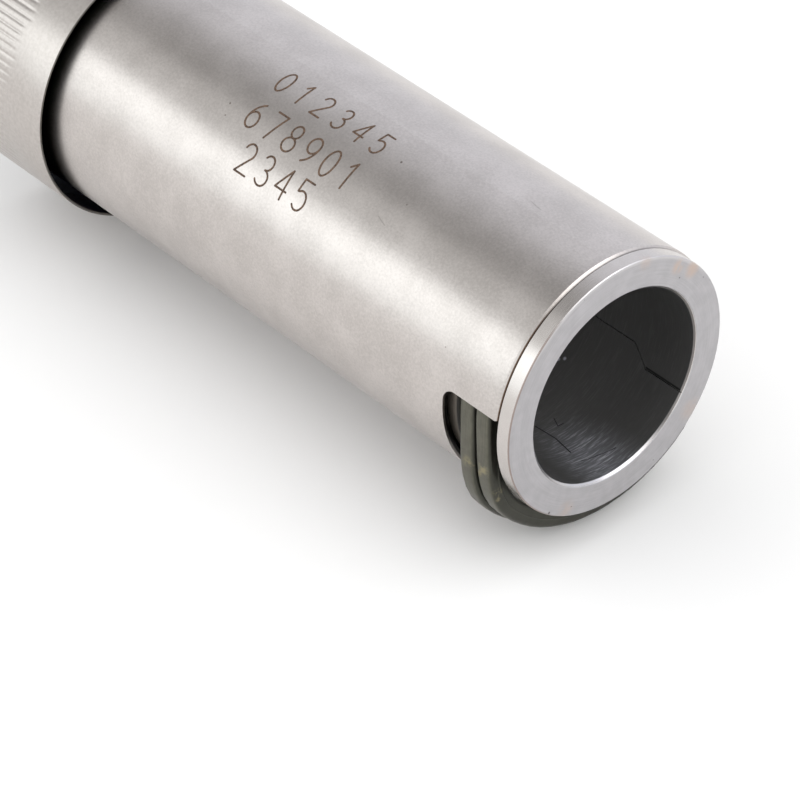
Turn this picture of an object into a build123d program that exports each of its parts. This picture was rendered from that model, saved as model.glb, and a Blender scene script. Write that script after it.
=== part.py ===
from build123d import *
from math import atan2, cos, degrees, floor, pi, radians, sin
import os

# Hot runner coil heater, in millimetres. It slides over a round nozzle, which its bore fits.
# The origin is the centre of the bore's mouth, and +X points out of the mouth along the bore.
# The heater lies on its side, so +Z is up. Lengths along the bore are counted back from the mouth.
# Angles round the bore are counted from +Z towards -Y, so the side at -Y is at 90 degrees.

# Bore: a rolled liner inside a thin core tube
bore_diameter = 19.1
liner_wall = 0.15
core_wall = 0.25
overall_length = 76.0
mouth_bevel = 0.25

# Narrow stepped seam where the liner's two edges meet
seam_width = 0.09
seam_angle = 239.0
seam_step_start = 4.5
seam_step_length = 2.15
seam_step_angle = 9.6

# Front flange, turned in one with the core tube, and a little smaller than the sleeve
flange_inset = 0.15
flange_thickness = 1.5
edge_break = 0.08

# Heating element: a flattened tube, wound edge to edge at both ends and openly between them.
# Its turns are counted from the -Y side.
strip_width = 1.84
strip_height = 2.0
strip_bevel = 0.28
winding_gap = 0.03
close_pitch = 2.0
close_turns = 4
turns = 15
first_angle = 90
front_turn_back = 3.85
rear_turn_gap = 0.2
sections_per_turn = 12

# The last two turns are loose. Below the axis each one swells out of the window to a larger circle,
# which sits lower and further to the +Y side than the bore. The first one swells a little more.
first_loose_turn = -1
loosening_span = 0.5
loose_turn_clearance = 0.1
loop_radius = 13.6
loop_shift = 1.2
loop_drop = 1.5
loop_start_angle = 90
loop_start_span = 46
loop_end_angle = 276
loop_end_span = 57
first_loop_share = 1.14
sections_per_loop = 12
open_end_angle = 248

# Sealed end of the element, and the two pins that its leads are crimped to
seal_width = 1.2
seal_height = 1.3
seal_corner = 0.3
seal_depth = 2.0
seal_proud = 0.25
pin_diameter = 0.4
pin_spacing = 0.6
pin_length = 1.6
pin_seat_depth = 1.2

# Outer sleeve over the winding, with a window milled straight across its lower half
winding_clearance = 0.32
sleeve_wall = 0.5
sleeve_end_gap = 0.03
sleeve_bevel = 0.25
window_back = 8.12
window_top = 2.0
window_corner_radius = 1.3

# Ring that closes the winding space at the rear
rear_ring_thickness = 2.0
press_clearance = 0.02

# Knurled collar over the sleeve's rear end, with a deep recess behind its thin front lip
collar_wall = 1.33
collar_length = 13.5
collar_lip_wall = 0.25
collar_recess_depth = 4.0
collar_bevel = 0.35
plain_band_length = 4.65
rear_band_length = 0.7
knurl_grooves = 108
knurl_depth = 0.2
knurl_land_share = 0.4

# Radii and places that follow from the sizes above
bore_radius = bore_diameter / 2
liner_radius = bore_radius + liner_wall
core_radius = liner_radius + core_wall
wound_radius = core_radius + winding_gap + strip_height / 2
sleeve_bore_radius = wound_radius + strip_height / 2 + winding_clearance
sleeve_radius = sleeve_bore_radius + sleeve_wall
flange_radius = sleeve_radius - flange_inset
loose_radius = sleeve_bore_radius - loose_turn_clearance - strip_height / 2
sleeve_front = flange_thickness + sleeve_end_gap
rear_ring_front = overall_length - rear_ring_thickness
sleeve_back = rear_ring_front - sleeve_end_gap
rear_turn_back = rear_ring_front - rear_turn_gap - strip_width / 2
collar_radius = sleeve_radius + press_clearance + collar_wall
collar_front = overall_length - collar_length


def turned(*points):
    """Solid turned about the bore's axis. Each point is (distance back from the mouth, radius)."""
    outline = Polyline(*[(-back, radius) for back, radius in points], close=True)
    return revolve(Plane.XZ * make_face(outline), Axis.X)


def tube(inner_radius, outer_radius, front, back):
    """Plain round tube between two distances back from the mouth."""
    return turned((front, inner_radius), (front, outer_radius), (back, outer_radius), (back, inner_radius))


def eased(share):
    """Share from 0 to 1 with a gentle start and end, held at 0 and 1 outside them."""
    held = min(max(share, 0), 1)
    return held**2 * (3 - 2 * held)


def make_inner_liner():
    """Thin sheet rolled into a tube: one narrow seam runs back, steps round and runs on."""
    liner = turned(
        (mouth_bevel, bore_radius),
        (mouth_bevel - liner_wall, liner_radius),
        (overall_length, liner_radius),
        (overall_length, bore_radius),
    )
    cut_height = 4 * liner_wall
    step_width = liner_radius * radians(seam_step_angle)
    step_length = (seam_step_length**2 + step_width**2) ** 0.5 + seam_width
    step_turn = degrees(atan2(step_width, seam_step_length))
    rear_start = seam_step_start + seam_step_length
    rear_length = overall_length - rear_start
    cuts = (
        (seam_angle, seam_step_start / 2, Box(seam_step_start, seam_width, cut_height)),
        (
            seam_angle + seam_step_angle / 2,
            seam_step_start + seam_step_length / 2,
            Rot(0, 0, step_turn) * Box(step_length, seam_width, cut_height),
        ),
        (
            seam_angle + seam_step_angle,
            rear_start + rear_length / 2,
            Box(rear_length, seam_width, cut_height),
        ),
    )
    for angle, back, cut in cuts:
        liner -= Rot(angle, 0, 0) * Pos(-back, 0, liner_radius) * cut
    return liner


def make_core_tube():
    """Core tube that carries the winding, with its front flange. The mouth's bevel runs on into the liner."""
    return turned(
        (0, bore_radius + mouth_bevel),
        (0, flange_radius - edge_break),
        (edge_break, flange_radius),
        (flange_thickness - edge_break, flange_radius),
        (flange_thickness, flange_radius - edge_break),
        (flange_thickness, core_radius),
        (overall_length, core_radius),
        (overall_length, liner_radius),
        (mouth_bevel - liner_wall, liner_radius),
    )


def loop_swell(angle):
    """How far the loose loop stands outside the loose turns' radius, at an angle round the bore."""
    out_y = -sin(radians(angle))
    out_z = cos(radians(angle))
    towards = loop_shift * out_y - loop_drop * out_z
    off_centre = loop_shift**2 + loop_drop**2
    reach = towards + (loop_radius**2 - off_centre + towards**2) ** 0.5
    start_share = eased((angle - loop_start_angle) / loop_start_span)
    end_share = eased((loop_end_angle - angle) / loop_end_span)
    return (reach - loose_radius) * start_share * end_share


def turn_back(turn):
    """Distance back from the mouth, at a count of turns from the last pass of the -Y side."""
    open_length = rear_turn_back - front_turn_back - close_pitch * turns
    open_share = (-turn - close_turns) / (turns - 2 * close_turns)
    return front_turn_back - close_pitch * turn + open_length * eased(open_share)


def element_point(turn):
    """Point on the element's centre line, at a count of turns from the last pass of the -Y side."""
    loosening = eased((turn - first_loose_turn) / loosening_span + 1)
    radius = wound_radius + (loose_radius - wound_radius) * loosening
    if turn >= first_loose_turn:
        angle_in_turn = first_angle + 360 * (turn - floor(turn))
        radius += loop_swell(angle_in_turn) * (first_loop_share if turn < 0 else 1)
    angle = radians(first_angle + 360 * turn)
    return Vector(-turn_back(turn), -radius * sin(angle), radius * cos(angle))


def element_plane(turn):
    """Plane across the element: its x runs outwards and its normal runs along the winding."""
    nudge = 0.0001
    centre = element_point(turn)
    outwards = Vector(0, centre.Y, centre.Z)
    along = element_point(turn + nudge) - element_point(turn - nudge)
    return Plane(origin=centre, x_dir=outwards, z_dir=along)


def element_span(start, end, steps):
    """Stretch of the element between two counts of turns, lofted through evenly spaced sections."""
    outline = chamfer(Rectangle(strip_height, strip_width).vertices(), strip_bevel)
    stations = [start + (end - start) * step / steps for step in range(steps + 1)]
    return loft([element_plane(station) * outline for station in stations])


last_turn = (open_end_angle - first_angle) / 360
end_plane = element_plane(last_turn)


def make_seal_blank():
    """Plug that closes the element's open end, seated in the tube and a little proud of it."""
    outline = RectangleRounded(seal_height, seal_width, seal_corner)
    plug = extrude(outline, seal_depth + seal_proud)
    return end_plane * Pos(0, 0, -seal_depth) * plug


def make_terminal_pin(side):
    """One of the two pins, which stand in the plug side by side across the strip's width."""
    length = pin_seat_depth + seal_proud + pin_length
    middle = length / 2 - pin_seat_depth
    return end_plane * Pos(0, side * pin_spacing / 2, middle) * Cylinder(pin_diameter / 2, length)


def make_heating_coil():
    """Wound element: the turns on the core tube, then the two loose ones, down to the open end."""
    end_start = last_turn - (seal_depth + seal_proud) / (2 * pi * loop_radius)
    spans = [element_span(turn, turn + 1, sections_per_turn) for turn in range(-turns, first_loose_turn)]
    spans.append(element_span(first_loose_turn, first_loose_turn / 2, sections_per_loop))
    spans.append(element_span(first_loose_turn / 2, 0, sections_per_turn // 2))
    spans.append(element_span(0, end_start, sections_per_loop))
    spans.append(element_span(end_start, last_turn, 2) - make_seal_blank())
    solids = [span.solid() for span in spans]
    return solids[0].fuse(*solids[1:], glue=True)


def make_outer_sleeve():
    """Tube over the winding, bevelled at its front end, with the window cut in from below."""
    sleeve = turned(
        (sleeve_front, sleeve_bore_radius),
        (sleeve_front, sleeve_radius - sleeve_bevel),
        (sleeve_front + sleeve_bevel, sleeve_radius),
        (sleeve_back, sleeve_radius),
        (sleeve_back, sleeve_bore_radius),
    )
    depth = window_top + 2 * sleeve_radius
    window = Pos(-window_back / 2, window_top - depth / 2) * Rectangle(window_back, depth)
    top_rear_corner = window.vertices().sort_by(Axis.Y)[-2:].sort_by(Axis.X)[0]
    window = fillet(top_rear_corner, window_corner_radius)
    return sleeve - extrude(Plane.XZ * window, 2 * sleeve_radius, both=True)


def make_rear_ring():
    """Ring on the core tube that closes the space between it and the collar."""
    return tube(core_radius + press_clearance, sleeve_radius, rear_ring_front, overall_length)


def make_knurled_collar():
    """Collar with a plain front band, straight knurling round the rest and a recess at its lip."""
    lip_radius = collar_radius - collar_lip_wall
    fit_radius = sleeve_radius + press_clearance
    recess_back = collar_front + collar_recess_depth
    collar = turned(
        (collar_front, lip_radius),
        (collar_front, collar_radius - edge_break),
        (collar_front + edge_break, collar_radius),
        (overall_length - collar_bevel, collar_radius),
        (overall_length, collar_radius - collar_bevel),
        (overall_length, fit_radius),
        (recess_back, fit_radius),
        (recess_back, lip_radius),
    )
    groove_pitch = 2 * pi / knurl_grooves
    root_radius = collar_radius - knurl_depth
    ridge_points = []
    for groove in range(knurl_grooves):
        start = groove * groove_pitch
        land_end = start + knurl_land_share * groove_pitch
        root = (land_end + start + groove_pitch) / 2
        for angle, radius in ((start, collar_radius), (land_end, collar_radius), (root, root_radius)):
            ridge_points.append((radius * sin(angle), radius * cos(angle)))
    knurl_front = collar_front + plain_band_length
    knurl_back = overall_length - rear_band_length
    ridges = extrude(make_face(Polyline(*ridge_points, close=True)), knurl_back - knurl_front)
    ridges = Pos(-knurl_back, 0, 0) * Rot(0, 90, 0) * ridges
    waste = tube(root_radius - knurl_depth, collar_radius + knurl_depth, knurl_front, knurl_back) - ridges
    return collar - waste


def main():
    """Build every piece and write each one to its own file."""
    pin_a = make_terminal_pin(-1)
    pin_b = make_terminal_pin(1)
    pieces = {
        "inner_liner": make_inner_liner(),
        "core_tube": make_core_tube(),
        "heating_coil": make_heating_coil(),
        "end_seal": make_seal_blank() - pin_a - pin_b,
        "terminal_pin_a": pin_a,
        "terminal_pin_b": pin_b,
        "outer_sleeve": make_outer_sleeve(),
        "rear_ring": make_rear_ring(),
        "knurled_collar": make_knurled_collar(),
    }
    os.makedirs("parts", exist_ok=True)
    for name, piece in pieces.items():
        export_step(piece, f"parts/{name}.step")


main()
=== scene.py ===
from math import ceil, cos, floor, pi, radians, sin, sqrt

import bpy
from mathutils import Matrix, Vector


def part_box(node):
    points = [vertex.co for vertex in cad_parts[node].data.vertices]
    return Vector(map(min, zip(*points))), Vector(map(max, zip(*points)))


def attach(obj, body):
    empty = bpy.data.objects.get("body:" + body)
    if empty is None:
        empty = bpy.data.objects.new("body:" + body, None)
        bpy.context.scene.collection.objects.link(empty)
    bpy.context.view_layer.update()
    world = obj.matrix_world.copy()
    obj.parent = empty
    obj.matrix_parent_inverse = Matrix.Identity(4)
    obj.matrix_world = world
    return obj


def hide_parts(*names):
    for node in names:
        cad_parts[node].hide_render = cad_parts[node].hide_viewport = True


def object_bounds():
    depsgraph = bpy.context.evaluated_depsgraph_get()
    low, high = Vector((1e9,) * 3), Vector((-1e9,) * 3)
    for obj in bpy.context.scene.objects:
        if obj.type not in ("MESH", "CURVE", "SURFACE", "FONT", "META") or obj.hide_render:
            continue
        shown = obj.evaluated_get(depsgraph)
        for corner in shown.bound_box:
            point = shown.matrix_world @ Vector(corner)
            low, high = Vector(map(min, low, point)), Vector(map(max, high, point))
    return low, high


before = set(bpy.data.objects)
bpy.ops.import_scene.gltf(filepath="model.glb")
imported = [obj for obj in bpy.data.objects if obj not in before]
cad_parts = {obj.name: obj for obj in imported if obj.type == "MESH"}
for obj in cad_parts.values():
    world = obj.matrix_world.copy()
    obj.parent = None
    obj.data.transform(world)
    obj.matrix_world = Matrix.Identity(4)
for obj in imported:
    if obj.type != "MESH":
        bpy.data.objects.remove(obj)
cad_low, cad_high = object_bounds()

# The looks of a hot runner coil heater. The bore runs along X, and its mouth is at the origin.
# Lengths along the bore are counted back from the mouth. Angles round it are counted from +Z
# towards -Y. Shader positions and the sizes below are in millimetres, and meshes are in metres.
MM = 0.001
ROUND = 360.0

# Sizes read from the frame
sleeve_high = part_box("outer_sleeve")[1] / MM
collar_low, collar_high = (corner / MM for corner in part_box("knurled_collar"))
core_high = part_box("core_tube")[1] / MM
liner_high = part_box("inner_liner")[1] / MM
SLEEVE_RADIUS = sleeve_high.z
SLEEVE_FRONT = -sleeve_high.x
COLLAR_RADIUS = collar_high.z
COLLAR_FRONT = -collar_high.x
COLLAR_BACK = -collar_low.x
CORE_RADIUS = core_high.z
LINER_RADIUS = liner_high.z

# Sizes of the bore, the flange and the collar's recess, as in the CAD source
BORE_RADIUS = 9.55
MOUTH_BEVEL = 0.25
FLANGE_THICKNESS = 1.5
EDGE_BREAK = 0.08
RECESS_BACK = COLLAR_FRONT + 4.0
LIP_WALL = 0.25
PRESS_CLEARANCE = 0.02

# Heating element, wound as the CAD source winds it
STRIP_WIDTH = 1.84
STRIP_HEIGHT = 2.0
STRIP_CORNER = 0.45
CLOSE_PITCH = 2.0
CLOSE_TURNS = 4
TURNS = 15
FIRST_ANGLE = 90.0
FRONT_TURN_BACK = 3.85
REAR_TURN_BACK = 72.88
WOUND_RADIUS = 10.98
LOOSE_RADIUS = 11.2
LOOP_RADIUS = 13.6
LOOP_SHIFT = 1.2
LOOP_DROP = 1.5
LOOP_START_ANGLE = 90.0
LOOP_START_SPAN = 46.0
LOOP_END_ANGLE = 276.0
LOOP_END_SPAN = 57.0
FIRST_LOOP_SHARE = 1.14
OPEN_END_ANGLE = 248.0
LAST_TURN = (OPEN_END_ANGLE - FIRST_ANGLE) / ROUND
SEAL_WIDTH = 1.2
SEAL_HEIGHT = 1.3
SEAL_CORNER = 0.3
SEAL_DEPTH = 2.0

# Camera, fitted to the rims of the bore and the flange and to the sleeve's edges
CAMERA_PLACE = (191.7, -195.3, 216.2)
CAMERA_AZIMUTH = 48.36
CAMERA_ELEVATION = 38.55
CAMERA_LENS = 182.4
CAMERA_SENSOR = 36.0
CAMERA_CLIP_START = 10.0


class Shader:
    """Adds nodes to a node tree. An input may be a number, a vector or another node's socket."""

    def __init__(self, tree):
        self.tree = tree
        tree.nodes.clear()

    def add(self, kind, inputs=None, **settings):
        """New node with those settings and inputs."""
        node = self.tree.nodes.new(kind)
        for name, value in settings.items():
            setattr(node, name, value)
        for key, value in (inputs or {}).items():
            if isinstance(value, bpy.types.NodeSocket):
                self.tree.links.new(value, node.inputs[key])
            else:
                node.inputs[key].default_value = value
        return node

    def math(self, operation, a, b=0.0, c=0.0, clamp=False):
        """Result of one sum."""
        inputs = {0: a, 1: b, 2: c}
        return self.add("ShaderNodeMath", inputs, operation=operation, use_clamp=clamp).outputs[0]

    def times(self, a, b):
        """Product of two numbers."""
        return self.math("MULTIPLY", a, b)

    def weighed(self, a, share_a, b, share_b):
        """Sum of two numbers, each times its share."""
        return self.math("ADD", self.times(a, share_a), self.times(b, share_b))

    def vector(self, operation, a, b=(0, 0, 0), scale=1.0):
        """Result of one vector sum, a number for a length or a dot product."""
        node = self.add("ShaderNodeVectorMath", {0: a, 1: b, 3: scale}, operation=operation)
        return node.outputs["Value" if operation in ("LENGTH", "DOT_PRODUCT", "DISTANCE") else "Vector"]

    def join(self, x=0.0, y=0.0, z=0.0):
        """Vector from three numbers."""
        return self.add("ShaderNodeCombineXYZ", {0: x, 1: y, 2: z}).outputs[0]

    def parts(self, vector):
        """The three numbers of a vector."""
        return self.add("ShaderNodeSeparateXYZ", {0: vector}).outputs

    def fade(self, value, start, end, low=0.0, high=1.0):
        """Soft step from low, where value is at start, to high, where it is at end."""
        inputs = {"Value": value, "From Min": start, "From Max": end, "To Min": low, "To Max": high}
        return self.add("ShaderNodeMapRange", inputs, interpolation_type="SMOOTHSTEP").outputs["Result"]

    def noise(self, place, scale=1.0, detail=2.0, roughness=0.5):
        """Smooth random number from 0 to 1."""
        inputs = {"Vector": place, "Scale": scale, "Detail": detail, "Roughness": roughness}
        return self.add("ShaderNodeTexNoise", inputs).outputs["Fac"]

    def streaks(self, point, stretch, detail=2.0, roughness=0.5):
        """Noise whose scale differs along X, Y and Z."""
        return self.noise(self.vector("MULTIPLY", point, stretch), detail=detail, roughness=roughness)

    def blend(self, share, a, b):
        """Colour between a and b."""
        return self.add("ShaderNodeMix", {0: share, 6: a, 7: b}, data_type="RGBA").outputs[2]

    def tones(self, value, dark, light, reach=0.2):
        """Colour from dark to light, as value passes within that reach of a half."""
        return self.blend(self.fade(value, 0.5 - reach, 0.5 + reach), dark, light)

    def point(self):
        """Position on the object, in millimetres."""
        return self.vector("SCALE", self.add("ShaderNodeTexCoord").outputs["Object"], scale=1 / MM)

    def place(self, point):
        """Distance back from the mouth, Y, Z and radius of a point."""
        x, y, z = self.parts(point)
        return self.times(x, -1.0), y, z, self.vector("LENGTH", self.join(0.0, y, z))

    def spot(self, point, centre, size, core=0.3, strength=1.0):
        """strength within a core share of the size, fading to 0 at the size."""
        return self.fade(self.vector("DISTANCE", point, centre), size, size * core, 0.0, strength)

    def near_line(self, point, start, end, reach):
        """1 on the line from start to end and 0 further off than reach."""
        start, end = Vector(start), Vector(end)
        run = end - start
        offset = self.vector("SUBTRACT", point, start)
        share = self.math("DIVIDE", self.vector("DOT_PRODUCT", offset, run), run.length_squared, clamp=True)
        on_line = self.vector("MULTIPLY", self.join(share, share, share), run)
        return self.fade(self.vector("DISTANCE", offset, on_line), reach, reach * 0.4)


def colour(red, green, blue):
    """Colour as a shader socket takes it."""
    return (red, green, blue, 1.0)


def at_angle(angle, radius, back):
    """Point at an angle round the bore, a radius and a distance back from the mouth."""
    return (-back, -radius * sin(radians(angle)), radius * cos(radians(angle)))


def make_metal(name, paint):
    """Material whose colour, roughness, bump height and metal share come from paint(shader)."""
    material = bpy.data.materials.new(name)
    material.use_nodes = True
    shader = Shader(material.node_tree)
    look = paint(shader)
    inputs = {
        "Base Color": look["colour"],
        "Roughness": look["roughness"],
        "Metallic": look.get("metallic", 1.0),
    }
    surface = shader.add("ShaderNodeBsdfPrincipled", inputs)
    if "height" in look:
        bump = shader.add("ShaderNodeBump", {"Strength": 1.0, "Distance": MM, "Height": look["height"]})
        shader.tree.links.new(bump.outputs[0], surface.inputs["Normal"])
    shader.add("ShaderNodeOutputMaterial", {"Surface": surface.outputs[0]})
    return material


# Specks on the sleeve: angle, distance back, size and strength
SLEEVE_SPECKS = (
    (33.1, 43.0, 0.15, 0.7),
    (38.2, 42.6, 0.13, 0.6),
    (14.4, 24.2, 0.17, 0.8),
    (28.1, 20.3, 0.12, 0.5),
    (66.0, 9.0, 0.12, 0.5),
)

# Light scratches on the sleeve: angle and distance back of both ends
SLEEVE_SCRATCHES = ((38.0, 21.9, 39.6, 20.8), (-4.0, 12.0, -3.0, 10.6))
SLEEVE_SCRATCH_WIDTH = 0.08
SLEEVE_SCRATCH_STRENGTH = 0.35

# The window's cut faces are painted dark as painted shade. Their paint ends just behind the window.
CUT_PAINT_BACK = 8.7


def paint_sleeve(shader):
    """Warm grey satin steel with a fine mottled grain, a few specks and scratches and a tinted front edge.
    The window's cut faces, its inside and what the collar's lip covers are painted near-black as painted
    shade."""
    point = shader.point()
    back, y, z, radius = shader.place(point)
    grain = shader.noise(point, scale=4.5, detail=3.0, roughness=0.65)
    cloud = shader.noise(point, scale=0.25)
    brush = shader.streaks(point, (0.35, 6.0, 6.0))
    tone = shader.weighed(grain, 0.6, cloud, 0.4)
    base = shader.tones(tone, colour(0.465, 0.430, 0.407), colour(0.595, 0.553, 0.527))

    front_edge = shader.fade(back, SLEEVE_FRONT + 0.13, SLEEVE_FRONT + 0.08)
    left_side = shader.fade(shader.math("DIVIDE", y, SLEEVE_RADIUS), -0.35, -0.7)
    base = shader.blend(shader.times(front_edge, left_side), base, colour(0.16, 0.095, 0.06))
    for angle, distance, size, strength in SLEEVE_SPECKS:
        speck = shader.spot(point, at_angle(angle, SLEEVE_RADIUS, distance), size, strength=strength)
        base = shader.blend(speck, base, colour(0.10, 0.07, 0.05))
    for angle, distance, end_angle, end_distance in SLEEVE_SCRATCHES:
        start = at_angle(angle, SLEEVE_RADIUS, distance)
        end = at_angle(end_angle, SLEEVE_RADIUS, end_distance)
        scratch = shader.near_line(point, start, end, SLEEVE_SCRATCH_WIDTH)
        base = shader.blend(shader.times(scratch, SLEEVE_SCRATCH_STRENGTH), base, colour(0.20, 0.18, 0.16))

    # Painted shade: the window's cut faces and the sleeve's inside are painted near-black.
    in_window = shader.fade(back, CUT_PAINT_BACK + 0.3, CUT_PAINT_BACK)
    cut = shader.times(shader.fade(radius, SLEEVE_RADIUS - 0.1, SLEEVE_RADIUS - 0.3), in_window)
    inside = shader.math("MAXIMUM", cut, shader.fade(radius, SLEEVE_RADIUS - 0.42, SLEEVE_RADIUS - 0.48))
    base = shader.blend(inside, base, colour(0.02, 0.018, 0.017))
    # Painted shade: the sleeve under the collar's lip, inside its recess, is painted near-black.
    recess = shader.fade(back, COLLAR_FRONT - 0.6, COLLAR_FRONT + 0.8)
    recess = shader.times(recess, shader.fade(back, RECESS_BACK + 0.1, RECESS_BACK))
    base = shader.blend(recess, base, colour(0.03, 0.03, 0.034))
    return {
        "colour": base,
        "roughness": shader.math("MULTIPLY_ADD", grain, 0.08, 0.26),
        "height": shader.weighed(grain, 0.006, brush, 0.003),
    }


def paint_collar(shader):
    """Smooth satin steel. Its lip face is painted dark and the inside of the recess black, both as painted
    shade.
    """
    point = shader.point()
    back, y, z, radius = shader.place(point)
    grain = shader.noise(point, scale=3.0, detail=3.0, roughness=0.6)
    lines = shader.noise(shader.join(shader.times(back, -14.0), y, z), detail=1.0)
    base = shader.tones(grain, colour(0.465, 0.431, 0.405), colour(0.53, 0.493, 0.467))
    # Painted shade: the lip's front face is painted dark.
    lip_face = shader.fade(back, COLLAR_FRONT + 0.05, COLLAR_FRONT + 0.01, 0.0, 0.8)
    base = shader.blend(lip_face, base, colour(0.11, 0.105, 0.092))

    # The recess has a wall under the lip and a ring at its bottom, both painted near-black as painted
    # shade. The collar's back face stays bright.
    not_back_face = shader.fade(back, COLLAR_BACK - 1.0, COLLAR_BACK - 1.5)
    behind_lip = shader.fade(back, COLLAR_FRONT + 0.06, COLLAR_FRONT + 0.2)
    wall = shader.times(shader.fade(radius, COLLAR_RADIUS - 0.12, COLLAR_RADIUS - 0.2), behind_lip)
    bottom = shader.fade(radius, COLLAR_RADIUS - 0.33, COLLAR_RADIUS - 0.40)
    inside = shader.times(shader.math("MAXIMUM", wall, bottom), not_back_face)
    base = shader.blend(inside, base, colour(0.028, 0.030, 0.038))
    return {
        "colour": base,
        "roughness": shader.math("MULTIPLY_ADD", grain, 0.08, 0.28),
        "height": shader.weighed(grain, 0.005, lines, 0.002),
    }


# Pits in the flange's face: angle, radius and size
FLANGE_PITS = (
    (142.2, 12.43, 0.19),
    (155.0, 11.7, 0.10),
    (205.0, 11.9, 0.08),
    (-41.0, 10.9, 0.10),
    (-56.0, 12.2, 0.08),
    (20.0, 12.3, 0.07),
)

# Stains on the flange's face: angle, radius, size and strength
FLANGE_STAINS = (
    (-36.0, 11.75, 1.0, 0.75),
    (-46.0, 12.1, 1.2, 0.8),
    (-14.0, 12.3, 1.0, 0.35),
    (152.0, 12.0, 1.3, 0.4),
    (232.0, 11.9, 1.6, 0.35),
)


def paint_turned(shader):
    """Neutral grey steel with fine turning lines, pits and stains, a painted highlight on the top of the
    face's rim and a brown line at the left of its edge. The flange's side is warmer and smoother, and the
    tube behind the flange is painted dark as painted shade, darkest near the flange."""
    point = shader.point()
    back, y, z, radius = shader.place(point)
    across = shader.times(shader.math("SUBTRACT", radius, back), 9.0)
    lines = shader.noise(shader.join(across, shader.times(y, 0.3), shader.times(z, 0.3)))
    cloud = shader.noise(point, scale=0.8, detail=3.0)
    tone = shader.weighed(lines, 0.5, cloud, 0.5)
    base = shader.tones(tone, colour(0.42, 0.407, 0.417), colour(0.495, 0.482, 0.493))
    side = shader.fade(back, EDGE_BREAK * 0.5, EDGE_BREAK)
    side_tone = shader.blend(cloud, colour(0.53, 0.494, 0.470), colour(0.60, 0.564, 0.54))
    base = shader.blend(side, base, side_tone)

    for angle, distance, size in FLANGE_PITS:
        pit = shader.spot(point, at_angle(angle, distance, 0.0), size, strength=0.85)
        base = shader.blend(pit, base, colour(0.06, 0.05, 0.05))
    # Painted highlight: the top of the face's outer rim is painted lighter.
    top_rim = shader.times(shader.fade(radius, 12.2, 12.5), shader.fade(z, 6.0, 9.5, 0.0, 0.7))
    painted_top_highlight = shader.times(top_rim, shader.fade(back, 0.1, 0.05))
    base = shader.blend(painted_top_highlight, base, colour(0.62, 0.60, 0.60))
    blot = shader.fade(shader.noise(point, scale=1.1, detail=3.0, roughness=0.6), 0.30, 0.52)
    for angle, distance, size, strength in FLANGE_STAINS:
        stain = shader.spot(point, at_angle(angle, distance, 0.0), size, core=0.2, strength=strength)
        base = shader.blend(shader.times(stain, blot), base, colour(0.56, 0.44, 0.37))
    rim = shader.fade(radius, CORE_RADIUS - 0.16, CORE_RADIUS - 0.08)
    rim = shader.times(rim, shader.fade(back, 0.14, 0.07))
    left_side = shader.fade(shader.math("DIVIDE", y, CORE_RADIUS), -0.45, -0.7, 0.0, 0.7)
    base = shader.blend(shader.times(rim, left_side), base, colour(0.24, 0.17, 0.14))

    # Painted shade: the tube behind the flange is painted dark, lighter from 5.5 mm back.
    behind = shader.fade(back, FLANGE_THICKNESS, FLANGE_THICKNESS + 0.1)
    shade_behind_flange = shader.times(behind, shader.fade(radius, 10.2, 10.0))
    deep = shader.fade(back, 5.5, 7.0)
    painted_shade_tone = shader.blend(deep, colour(0.03, 0.027, 0.025), colour(0.15, 0.148, 0.146))
    base = shader.blend(shade_behind_flange, base, painted_shade_tone)
    return {
        "colour": base,
        "roughness": shader.math("MULTIPLY_ADD", lines, 0.12, shader.fade(side, 0.0, 1.0, 0.36, 0.19)),
        "height": shader.times(lines, 0.004),
    }


# Painted sheen in the bore: a lighter patch at its bottom near the mouth, where light falls in
PAINTED_SHEEN_ANGLE = 180.5
PAINTED_SHEEN_BACK = 2.2
PAINTED_SHEEN_REACH = 4.7
PAINTED_SHEEN_STRETCH = (0.6, 1.0, 1.0)

# Scratches in the bore: angle and distance back of both ends, and width
BORE_SCRATCHES = (
    (175.2, 4.5, 177.5, 6.8, 0.09),
    (177.5, 6.8, 176.4, 9.2, 0.08),
    (188.1, 8.9, 185.4, 7.9, 0.05),
    (185.4, 7.9, 188.8, 7.8, 0.05),
    (174.4, 3.0, 184.5, 2.6, 0.06),
    (184.5, 2.6, 194.5, 2.1, 0.06),
    (240.0, 0.2, 240.0, 4.5, 0.11),
)

# Painted glints in the bore: angle and distance back
BORE_PAINTED_GLINTS = ((219.7, 12.6), (217.5, 13.1))
PAINTED_GLINT_SIZE = 0.24


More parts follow.
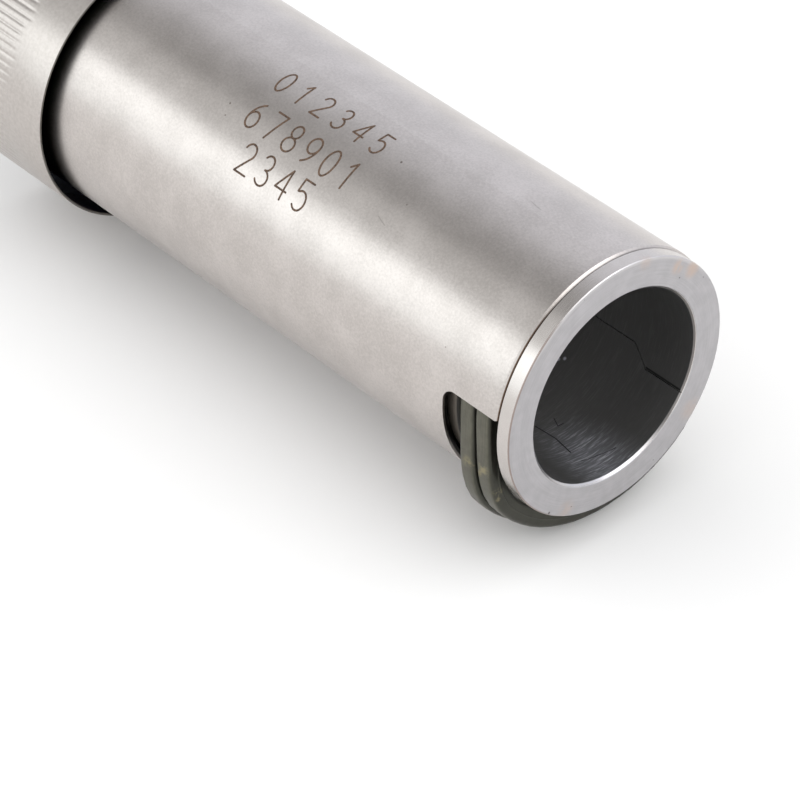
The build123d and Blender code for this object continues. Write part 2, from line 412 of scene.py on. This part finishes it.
def paint_liner(shader):
    """Charcoal steel with streaks round the bore, a painted sheen at its bottom near the mouth, dark
    scratches and two painted glints. Further in it is painted lighter as painted light, and the bevel round
    the mouth is bright metal, dark brown on its right side."""
    point = shader.point()
    back, y, z, radius = shader.place(point)
    fine = shader.streaks(point, (9.0, 0.7, 0.7), detail=3.0, roughness=0.6)
    broad = shader.streaks(point, (1.6, 0.12, 0.12))
    streak = shader.times(shader.fade(fine, 0.45, 0.72), shader.fade(broad, 0.3, 0.7, 0.4, 1.0))
    # Painted sheen: lighter colours at the bore's bottom near the mouth.
    offset = shader.vector("SUBTRACT", point, at_angle(PAINTED_SHEEN_ANGLE, LINER_RADIUS, PAINTED_SHEEN_BACK))
    distance = shader.vector("LENGTH", shader.vector("MULTIPLY", offset, PAINTED_SHEEN_STRETCH))
    painted_sheen = shader.fade(distance, PAINTED_SHEEN_REACH, 0.0)
    dark = shader.blend(painted_sheen, colour(0.070, 0.069, 0.068), colour(0.15, 0.152, 0.166))
    bright = shader.blend(painted_sheen, colour(0.092, 0.091, 0.090), colour(0.58, 0.59, 0.64))
    base = shader.blend(streak, dark, bright)
    # Painted light: the colour is raised further in, where the bore lies in shade.
    base = shader.vector("SCALE", base, scale=shader.fade(back, 2.0, 14.0, 1.0, 2.2))

    for angle, start, end_angle, end, width in BORE_SCRATCHES:
        ends = at_angle(angle, BORE_RADIUS, start), at_angle(end_angle, BORE_RADIUS, end)
        base = shader.blend(shader.near_line(point, *ends, width), base, colour(0.008, 0.008, 0.008))
    # Painted glints: two small bluish-white spots.
    for angle, start in BORE_PAINTED_GLINTS:
        painted_glint = shader.spot(point, at_angle(angle, BORE_RADIUS, start), PAINTED_GLINT_SIZE, core=0.25)
        base = shader.blend(painted_glint, base, colour(0.66, 0.67, 0.74))
    mouth = shader.fade(back, MOUTH_BEVEL, MOUTH_BEVEL - 0.04)
    right_side = shader.fade(y, 4.5, 7.0, 0.0, 0.8)
    mouth_tone = shader.blend(right_side, colour(0.54, 0.53, 0.535), colour(0.10, 0.085, 0.075))
    base = shader.blend(mouth, base, mouth_tone)
    return {
        "colour": base,
        "roughness": shader.fade(mouth, 0.0, 1.0, shader.math("MULTIPLY_ADD", fine, -0.16, 0.48), 0.28),
        "height": shader.times(fine, 0.010),
        "metallic": shader.fade(mouth, 0.0, 1.0, 0.3, 1.0),
    }


# Front of the innermost turn in the window, which is browner than the loose ones
INNER_TURN_FRONT = FRONT_TURN_BACK + 1.5 * CLOSE_PITCH

# Scuffs on the loose turns: place, size and strength
COIL_SCUFFS = (
    ((-5.4, -12.2, -5.0), 1.0, 0.55),
    ((-3.8, -12.1, -4.7), 1.0, 0.75),
    ((-4.3, -12.2, -5.4), 0.7, 0.6),
    ((-2.8, -11.2, -7.3), 0.7, 0.8),
    ((-2.8, -11.0, -8.0), 0.5, 0.7),
)


def paint_coil(shader):
    """Olive grey oxidised sheath, mottled, with a few yellowish scuffs on the loose turns. Its side faces
    are painted darker as painted shade, and the innermost turn in the window is brown with a black painted
    shadow across its front."""
    point = shader.point()
    back = shader.place(point)[0]
    mottle = shader.noise(point, scale=1.1, detail=4.0, roughness=0.6)
    along = shader.streaks(point, (7.0, 0.5, 0.5))
    tone = shader.weighed(mottle, 0.6, along, 0.4)
    base = shader.tones(tone, colour(0.092, 0.089, 0.069), colour(0.136, 0.131, 0.103))
    # The innermost turn is brown. The black band across its front is a painted shadow.
    inner = shader.fade(back, INNER_TURN_FRONT, INNER_TURN_FRONT + 0.06)
    past_painted_shadow = shader.fade(back, INNER_TURN_FRONT + 0.3, INNER_TURN_FRONT + 0.5)
    brown_and_shadow_tone = shader.blend(past_painted_shadow, colour(0.012, 0.011, 0.010), colour(0.11, 0.095, 0.08))
    base = shader.blend(inner, base, brown_and_shadow_tone)
    # Painted shade: faces turned along X, the strips' sides and corners, are painted darker.
    facing_x = shader.parts(shader.add("ShaderNodeNewGeometry").outputs["Normal"])[0]
    side = shader.fade(shader.math("ABSOLUTE", facing_x), 0.35, 0.85, 0.0, 0.75)
    base = shader.blend(side, base, colour(0.030, 0.030, 0.024))
    worn = shader.fade(mottle, 0.45, 0.6)
    for centre, size, strength in COIL_SCUFFS:
        scuff = shader.times(shader.spot(point, centre, size, core=0.2, strength=strength), worn)
        base = shader.blend(scuff, base, colour(0.29, 0.25, 0.14))
    return {
        "colour": base,
        "roughness": shader.math("MULTIPLY_ADD", mottle, 0.18, 0.30),
        "height": shader.weighed(mottle, 0.02, along, 0.008),
        "metallic": 0.75,
    }


def paint_seal(shader):
    """Off-white ceramic with small grains."""
    grain = shader.noise(shader.point(), scale=9.0, detail=3.0)
    return {
        "colour": shader.tones(grain, colour(0.58, 0.56, 0.50), colour(0.70, 0.68, 0.62)),
        "roughness": 0.75,
        "height": shader.times(grain, 0.01),
        "metallic": 0.0,
    }


def paint_pin(shader):
    """Dull nickel with lines drawn along the pin."""
    drawn = shader.streaks(shader.point(), (20.0, 20.0, 1.5))
    return {
        "colour": shader.blend(drawn, colour(0.44, 0.42, 0.38), colour(0.58, 0.56, 0.51)),
        "roughness": shader.math("MULTIPLY_ADD", drawn, 0.15, 0.28),
    }


def paint_marking(shader):
    """Brown burnt-in marking, uneven along its strokes."""
    burn = shader.noise(shader.point(), scale=5.0, detail=3.0)
    return {
        "colour": shader.tones(burn, colour(0.055, 0.030, 0.017), colour(0.150, 0.090, 0.055), reach=0.15),
        "roughness": 0.6,
        "height": shader.times(burn, 0.01),
        "metallic": 0.0,
    }


SHARP_ANGLE = 40.0


def make_object(name, verts, faces, material):
    """Mesh piece from points in millimetres. Its faces are shaded smooth, with sharp corners kept."""
    mesh = bpy.data.meshes.new(name)
    mesh.from_pydata([Vector(v) * MM for v in verts], [], faces)
    mesh.validate()
    mesh.materials.append(material)
    mesh.shade_smooth()
    mesh.set_sharp_from_angle(angle=radians(SHARP_ANGLE))
    piece = bpy.data.objects.new(name, mesh)
    bpy.context.scene.collection.objects.link(piece)
    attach(piece, "root")
    return piece


def eased(share):
    """Share from 0 to 1 with a gentle start and end, held at 0 and 1 outside them."""
    held = min(max(share, 0), 1)
    return held**2 * (3 - 2 * held)


def loop_swell(angle):
    """How far the loose loop stands outside the loose turns' radius, at an angle round the bore."""
    out = at_angle(angle, 1.0, 0.0)
    towards = LOOP_SHIFT * out[1] - LOOP_DROP * out[2]
    reach = towards + sqrt(LOOP_RADIUS**2 - LOOP_SHIFT**2 - LOOP_DROP**2 + towards**2)
    start_share = eased((angle - LOOP_START_ANGLE) / LOOP_START_SPAN)
    end_share = eased((LOOP_END_ANGLE - angle) / LOOP_END_SPAN)
    return (reach - LOOSE_RADIUS) * (start_share * end_share)


def element_point(turn):
    """Point on the element's centre line, at a count of turns from the last pass of the -Y side."""
    open_length = REAR_TURN_BACK - FRONT_TURN_BACK - CLOSE_PITCH * TURNS
    open_share = (-turn - CLOSE_TURNS) / (TURNS - 2 * CLOSE_TURNS)
    back = FRONT_TURN_BACK - CLOSE_PITCH * turn + open_length * eased(open_share)
    radius = WOUND_RADIUS + (LOOSE_RADIUS - WOUND_RADIUS) * eased(2 * (turn + 1.5))
    if turn >= -1:
        swell = loop_swell(FIRST_ANGLE + ROUND * (turn - floor(turn)))
        radius += swell * (FIRST_LOOP_SHARE if turn < 0 else 1)
    return Vector(at_angle(FIRST_ANGLE + ROUND * turn, radius, back))


def element_axes(turn):
    """Centre, outward direction, direction along the winding and direction across the strip."""
    nudge = 0.0001
    centre = element_point(turn)
    along = (element_point(turn + nudge) - element_point(turn - nudge)).normalized()
    across = along.cross(Vector((0, centre.y, centre.z))).normalized()
    return centre, across.cross(along), along, across


# Knurled collar: the CAD piece with soft-edged grooves that run out towards the plain band
BAND_LENGTH = 4.65
REAR_BAND_LENGTH = 0.7
COLLAR_BEVEL = 0.35
LIP_BREAK = 0.05
GROOVES = 108
GROOVE_DEPTH = 0.06
GROOVE_STEPS = 8
GROOVE_LAND = 0.46
GROOVE_RUN_OUT = 1.3
GROOVE_END = 0.02
BAND_EDGE = 0.4
KNURL_ROWS = 14

# Rows of points where the grooves run out, as shares of that length. They replace the first even rows.
RUN_OUT_ROWS = (-0.2, 0, 0.2, 0.4, 0.6, 0.8, 1.0, 1.2)
ROWS_REPLACED = 2

# The run-outs are uneven: two waves, each a size and a turn in radians from groove to groove
GROOVE_STAGGER = ((0.12, 2.4), (0.08, 5.1))


def groove_sink(number, share, from_end):
    """Depth of a groove at a share of its pitch and a distance from its front end."""
    across = min(max((share - GROOVE_LAND) / (1 - GROOVE_LAND), 0.0), 1.0)
    stagger = sum(size * sin(number * turn) for size, turn in GROOVE_STAGGER)
    return GROOVE_DEPTH * (1 - cos(2 * pi * across)) / 2 * eased((from_end + stagger) / GROOVE_RUN_OUT)


def make_collar(material):
    """Knurled collar as one closed turned mesh, with the recess behind its thin lip."""
    knurl_front, knurl_back = COLLAR_FRONT + BAND_LENGTH, COLLAR_BACK - REAR_BAND_LENGTH
    lip = COLLAR_RADIUS - LIP_WALL
    inner_radius = SLEEVE_RADIUS + PRESS_CLEARANCE
    profile = [
        (COLLAR_FRONT, lip + LIP_BREAK),
        (COLLAR_FRONT, COLLAR_RADIUS - EDGE_BREAK),
        (COLLAR_FRONT + EDGE_BREAK / 3, COLLAR_RADIUS - EDGE_BREAK / 3),
        (COLLAR_FRONT + EDGE_BREAK, COLLAR_RADIUS),
        (knurl_front - BAND_EDGE, COLLAR_RADIUS),
    ]
    rows = [knurl_front + share * GROOVE_RUN_OUT for share in RUN_OUT_ROWS]
    for row in range(1 + ROWS_REPLACED, KNURL_ROWS):
        rows.append(knurl_front + (knurl_back - knurl_front) * row / KNURL_ROWS)
    profile += [(row, COLLAR_RADIUS) for row in rows]
    profile += [
        (knurl_back, COLLAR_RADIUS),
        (knurl_back + GROOVE_END, COLLAR_RADIUS),
        (COLLAR_BACK - COLLAR_BEVEL, COLLAR_RADIUS),
        (COLLAR_BACK, COLLAR_RADIUS - COLLAR_BEVEL),
        (COLLAR_BACK, inner_radius),
        (RECESS_BACK, inner_radius),
        (RECESS_BACK, lip),
        (COLLAR_FRONT + LIP_BREAK, lip),
    ]
    around = GROOVES * GROOVE_STEPS
    verts, faces = [], []
    for distance, radius in profile:
        knurled = rows[0] <= distance <= knurl_back
        for step in range(around):
            number, part = divmod(step, GROOVE_STEPS)
            sink = groove_sink(number, part / GROOVE_STEPS, distance - knurl_front) if knurled else 0.0
            verts.append(at_angle(ROUND * step / around, radius - sink, distance))
    for ring in range(len(profile)):
        first, second = ring * around, (ring + 1) % len(profile) * around
        for step in range(around):
            following = (step + 1) % around
            faces.append((first + step, second + step, second + following, first + following))
    piece = make_object("soft_knurled_collar", verts, faces, material)
    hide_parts("knurled_collar")
    return piece


# Ridge along the middle of the strip's side faces: place towards the outside, and share of its height
RIDGE_PROFILE = ((0.16, 0.0), (0.05, 0.35), (0.0, 1.0), (-0.05, 0.35), (-0.16, 0.0))
RIDGE_HEIGHT = 0.038
RINGS_PER_TURN = 72
CORNER_STEPS = 6


def rounded_outline(height, width, corner):
    """Points (outwards, across) round a rectangle with rounded corners."""
    points = []
    for number, (side, end) in enumerate(((1, 1), (-1, 1), (-1, -1), (1, -1))):
        for step in range(CORNER_STEPS + 1):
            angle = radians(90 * (number + step / CORNER_STEPS))
            outwards = side * (height / 2 - corner) + corner * cos(angle)
            across = end * (width / 2 - corner) + corner * sin(angle)
            points.append((outwards, across))
    return points


def strip_outline():
    """Section of the flattened tube: rounded corners, and a fine ridge on each side face."""
    corners = rounded_outline(STRIP_HEIGHT, STRIP_WIDTH, STRIP_CORNER)
    outline = []
    for number in range(4):
        bend = corners[number * (CORNER_STEPS + 1):(number + 1) * (CORNER_STEPS + 1)]
        outline.extend(bend)
        following = corners[(number + 1) * (CORNER_STEPS + 1) % len(corners)]
        if number % 2 == 0:
            side = 1 if bend[-1][1] > 0 else -1
            for place, rise in RIDGE_PROFILE:
                outline.append((side * place, side * (STRIP_WIDTH / 2 + rise * RIDGE_HEIGHT)))
        else:
            outline.append(((bend[-1][0] + following[0]) / 2, (bend[-1][1] + following[1]) / 2))
    return outline


def resampled(small, large):
    """For each point of the large outline, the point of the small one in about the same direction."""
    picked = []
    for x, y in large:
        picked.append(max(small, key=lambda p: (p[0] * x + p[1] * y) / sqrt(p[0] ** 2 + p[1] ** 2)))
    return picked


def make_coil(material):
    """The whole wound element as one closed mesh, with the pocket that its end seal sits in."""
    outline = strip_outline()
    count = len(outline)
    rings = int((TURNS + LAST_TURN) * RINGS_PER_TURN)
    verts, faces = [], []

    def add_ring(points, turn, shift=0.0):
        centre, outwards, along, across = element_axes(turn)
        verts.extend(centre + along * shift + outwards * a + across * b for a, b in points)

    def join_rings(first, second):
        for n in range(count):
            following = (n + 1) % count
            faces.append((first + n, first + following, second + following, second + n))

    for ring in range(rings + 1):
        add_ring(outline, -TURNS + (TURNS + LAST_TURN) * ring / rings)
        if ring:
            join_rings((ring - 1) * count, ring * count)
    pocket = resampled(rounded_outline(SEAL_HEIGHT, SEAL_WIDTH, SEAL_CORNER), outline)
    end = rings * count
    add_ring(pocket, LAST_TURN)
    add_ring(pocket, LAST_TURN, -SEAL_DEPTH)
    join_rings(end, end + count)
    join_rings(end + count, end + 2 * count)
    faces.append(tuple(range(end + 2 * count, end + 3 * count)))
    faces.append(tuple(reversed(range(count))))
    piece = make_object("wound_element", verts, faces, material)
    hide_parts("heating_coil")
    return piece


def arc(centre_x, centre_y, radius_x, radius_y, start, end, steps=14):
    """Points along an arc of an oval, with angles in degrees counted anticlockwise."""
    angles = [radians(start + (end - start) * step / steps) for step in range(steps + 1)]
    return [(centre_x + radius_x * cos(a), centre_y + radius_y * sin(a)) for a in angles]


# Single-stroke digits in a cell one high and 0.5 wide
DIGITS = {
    "0": [arc(0.25, 0.5, 0.24, 0.5, 90, 450, 28)],
    "1": [[(0.10, 0.78), (0.28, 1.0), (0.28, 0.0)]],
    "2": [arc(0.25, 0.74, 0.23, 0.26, 165, -35) + [(0.0, 0.0), (0.5, 0.0)]],
    "3": [arc(0.24, 0.76, 0.21, 0.24, 150, -90), arc(0.24, 0.26, 0.25, 0.26, 90, -150)],
    "4": [[(0.38, 0.0), (0.38, 1.0), (0.0, 0.3), (0.5, 0.3)]],
    "5": [[(0.46, 1.0), (0.06, 1.0), (0.03, 0.57)] + arc(0.23, 0.32, 0.25, 0.32, 125, -140)],
    "6": [arc(0.25, 0.3, 0.24, 0.3, -180, 180, 24), arc(0.62, 0.3, 0.61, 0.72, 180, 115)],
    "7": [[(0.0, 1.0), (0.5, 1.0), (0.18, 0.0)]],
    "8": [arc(0.25, 0.76, 0.2, 0.24, 0, 360, 24), arc(0.25, 0.26, 0.25, 0.26, 0, 360, 24)],
    "9": [arc(0.25, 0.7, 0.24, 0.3, 0, 360, 24), arc(-0.12, 0.7, 0.61, 0.72, 0, -65)],
}

# Rows of counting digits: angle at their feet and at their tops, first and last distance back, digits
MARKING_ROWS = (
    (18.0, 7.0, 40.8, 26.7, "012345"),
    (37.3, 25.0, 40.5, 26.6, "678901"),
    (54.4, 41.5, 38.5, 29.5, "2345"),
)
STROKE_WIDTH = 0.2
STROKE_RISE = 0.006
STROKE_SINK = 0.05
STROKE_END_STEPS = 6
DIGIT_WIDTH = 0.5


def divided(points, longest):
    """The same line with more points, so that no run is longer than that."""
    line = [Vector(points[0])]
    for end in points[1:]:
        run = Vector(end) - line[-1]
        start = line[-1]
        parts = max(1, ceil(run.length / longest))
        line.extend(start + run * part / parts for part in range(1, parts + 1))
    return line


def add_stroke(points, verts, faces):
    """Thin closed ribbon with round ends for each run of a stroke. Points are (distance along X, distance
    round the sleeve)."""
    points = divided(points, STROKE_WIDTH)
    for start, end in zip(points, points[1:]):
        forward = (end - start).normalized() * STROKE_WIDTH / 2
        side = Vector((-forward.y, forward.x))
        outline = []
        for centre, first_turn in ((end, -90), (start, 90)):
            for step in range(STROKE_END_STEPS + 1):
                turn = radians(first_turn + 180 * step / STROKE_END_STEPS)
                outline.append(centre + forward * cos(turn) + side * sin(turn))
        first, count = len(verts), len(outline)
        for depth in (STROKE_RISE, -STROKE_SINK):
            radius = SLEEVE_RADIUS + depth
            for spot in outline:
                angle = spot.y / SLEEVE_RADIUS
                verts.append((spot.x, -radius * sin(angle), radius * cos(angle)))
        faces.append(tuple(range(first, first + count)))
        faces.append(tuple(reversed(range(first + count, first + 2 * count))))
        for n in range(count):
            following = (n + 1) % count
            faces.append((first + n, first + n + count, first + following + count, first + following))


def make_marking(material):
    """Three rows of plain digits on the sleeve, read from the rear towards the mouth."""
    verts, faces = [], []
    for feet, tops, rear, front, text in MARKING_ROWS:
        height = radians(feet - tops) * SLEEVE_RADIUS
        width = height * DIGIT_WIDTH
        pitch = (rear - front - width) / (len(text) - 1)
        for number, digit in enumerate(text):
            for stroke in DIGITS[digit]:
                placed = [
                    (-rear + number * pitch + u * height, radians(feet) * SLEEVE_RADIUS - v * height)
                    for u, v in stroke
                ]
                add_stroke(placed, verts, faces)
    piece = make_object("marking_digits", verts, faces, material)
    return piece


# Studio: soft boxes along the bore. Each is an angle, its half width, the edge's softness,
# its strength and its colour.
SOFT_BOXES = (
    (71.5, 15.5, 7.0, 1.28, (0.955, 1.01, 1.025)),
    (47.0, 24.0, 5.0, 0.38, (0.98, 1.0, 1.0)),
    (-89.0, 37.0, 60.0, 0.60, (0.91, 0.96, 1.10)),
)
SKY_LEVEL = 0.47

# Level beyond both ends of the bore, and how far a direction leans along X where it starts and is full
END_LEVEL = 0.55
END_START = 0.75
END_FULL = 0.97

# Round soft box in front of the mouth: its direction, inner and outer half angle, and strength
FRONT_BOX = ((0.70, 0.30, 0.65), 14.0, 30.0, 2.0)

# Even light of the room, and its two broad lamps: azimuth from +X towards +Y, elevation and strength
ROOM_LEVEL = 0.43
ROOM_LAMPS = ((15.0, 45.0, 2.1), (225.0, 30.0, 1.3))
ROOM_LAMP_FOCUS = 3.0

HORIZON_SOFTNESS = 0.03
FLOOR_SHADE = 0.86
FLOOR_HALF_WIDTH = 900.0
WHITE = colour(1.0, 1.0, 1.0)


def metal_sky(shader, direction):
    """What metal mirrors: soft boxes beside the bore and one before its mouth, over a dim ceiling."""
    x, y, z = shader.parts(direction)
    across = shader.vector("NORMALIZE", shader.join(0.0, y, z))
    sky = shader.join(SKY_LEVEL, SKY_LEVEL, SKY_LEVEL)
    for angle, half_width, softness, strength, tint in SOFT_BOXES:
        facing = shader.vector("DOT_PRODUCT", across, at_angle(angle, 1.0, 0.0))
        glow = shader.fade(facing, cos(radians(half_width + softness)), cos(radians(half_width)))
        light = shader.vector("SCALE", tuple(strength * part for part in tint), scale=glow)
        sky = shader.vector("ADD", sky, light)
    ends = shader.fade(shader.math("ABSOLUTE", x), END_START, END_FULL)
    sky = shader.blend(ends, sky, colour(END_LEVEL, END_LEVEL, END_LEVEL))
    aim, inner, outer, strength = FRONT_BOX
    facing = shader.vector("DOT_PRODUCT", direction, Vector(aim).normalized())
    glow = shader.fade(facing, cos(radians(outer)), cos(radians(inner)), 0.0, strength)
    sky = shader.vector("ADD", sky, shader.join(glow, glow, glow))
    return shader.blend(shader.fade(z, 0.0, -HORIZON_SOFTNESS), sky, WHITE)


def room_light(shader, direction):
    """What lights everything else: an even room with two broad lamps."""
    room = ROOM_LEVEL
    for azimuth, elevation, strength in ROOM_LAMPS:
        turn, rise = radians(azimuth), radians(elevation)
        aim = (cos(turn) * cos(rise), sin(turn) * cos(rise), sin(rise))
        facing = shader.math("MAXIMUM", shader.vector("DOT_PRODUCT", direction, aim), 0.0)
        room = shader.math("MULTIPLY_ADD", shader.math("POWER", facing, ROOM_LAMP_FOCUS), strength, room)
    return shader.join(room, room, room)


def make_world():
    """Studio light. Metal sees the soft boxes, the rest is lit evenly, and the backdrop is white."""
    world = bpy.data.worlds.new("studio")
    bpy.context.scene.world = world
    world.use_nodes = True
    world.cycles.sampling_method = "NONE"
    shader = Shader(world.node_tree)
    direction = shader.add("ShaderNodeTexCoord").outputs["Generated"]
    rays = shader.add("ShaderNodeLightPath").outputs
    sky = shader.blend(rays["Is Glossy Ray"], room_light(shader, direction), metal_sky(shader, direction))
    sky = shader.blend(rays["Is Camera Ray"], sky, WHITE)
    light = shader.add("ShaderNodeBackground", {"Color": sky, "Strength": 1.0})
    shader.add("ShaderNodeOutputWorld", {"Surface": light.outputs[0]})


def make_floor():
    """White sweep under the heater, which keeps its soft shadow."""
    material = bpy.data.materials.new("floor_white")
    material.use_nodes = True
    shader = Shader(material.node_tree)
    inputs = {"Color": colour(FLOOR_SHADE, FLOOR_SHADE, FLOOR_SHADE), "Roughness": 0.0}
    shade = shader.add("ShaderNodeBsdfDiffuse", inputs)
    shader.add("ShaderNodeOutputMaterial", {"Surface": shade.outputs[0]})
    half = FLOOR_HALF_WIDTH
    corners = [(-half, -half), (half, -half), (half, half), (-half, half)]
    mesh = bpy.data.meshes.new("floor")
    mesh.from_pydata([Vector((a, b, cad_low.z / MM)) * MM for a, b in corners], [], [(0, 1, 2, 3)])
    mesh.materials.append(material)
    floor_sheet = bpy.data.objects.new("floor", mesh)
    bpy.context.scene.collection.objects.link(floor_sheet)


def make_camera():
    """Camera at the photograph's place, level and looking down along the bore from the left."""
    data = bpy.data.cameras.new("camera")
    data.lens = CAMERA_LENS
    data.sensor_width = CAMERA_SENSOR
    data.clip_start = CAMERA_CLIP_START * MM
    camera = bpy.data.objects.new("camera", data)
    bpy.context.scene.collection.objects.link(camera)
    turn, rise = radians(CAMERA_AZIMUTH), radians(CAMERA_ELEVATION)
    towards = Vector((sin(turn) * cos(rise), -cos(turn) * cos(rise), sin(rise)))
    camera.location = Vector(CAMERA_PLACE) * MM
    camera.rotation_mode = "QUATERNION"
    camera.rotation_quaternion = (-towards).to_track_quat("-Z", "Y")
    bpy.context.scene.camera = camera


def dress(material, *names):
    """Gives carried-over CAD nodes their finish."""
    for name in names:
        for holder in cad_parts[name].material_slots:
            holder.material = material


make_camera()
make_world()
make_floor()
bpy.context.scene.view_settings.view_transform = "Standard"

turned = make_metal("turned_steel_fine", paint_turned)
dress(make_metal("satin_steel_blasted", paint_sleeve), "outer_sleeve")
dress(turned, "core_tube", "rear_ring")
dress(make_metal("liner_charcoal", paint_liner), "inner_liner")
dress(make_metal("seal_ceramic_grainy", paint_seal), "end_seal")
dress(make_metal("pin_nickel_drawn", paint_pin), "terminal_pin_a", "terminal_pin_b")
make_collar(make_metal("satin_steel_knurled", paint_collar))
make_coil(make_metal("sheath_olive", paint_coil))
make_marking(make_metal("marking_brown", paint_marking))
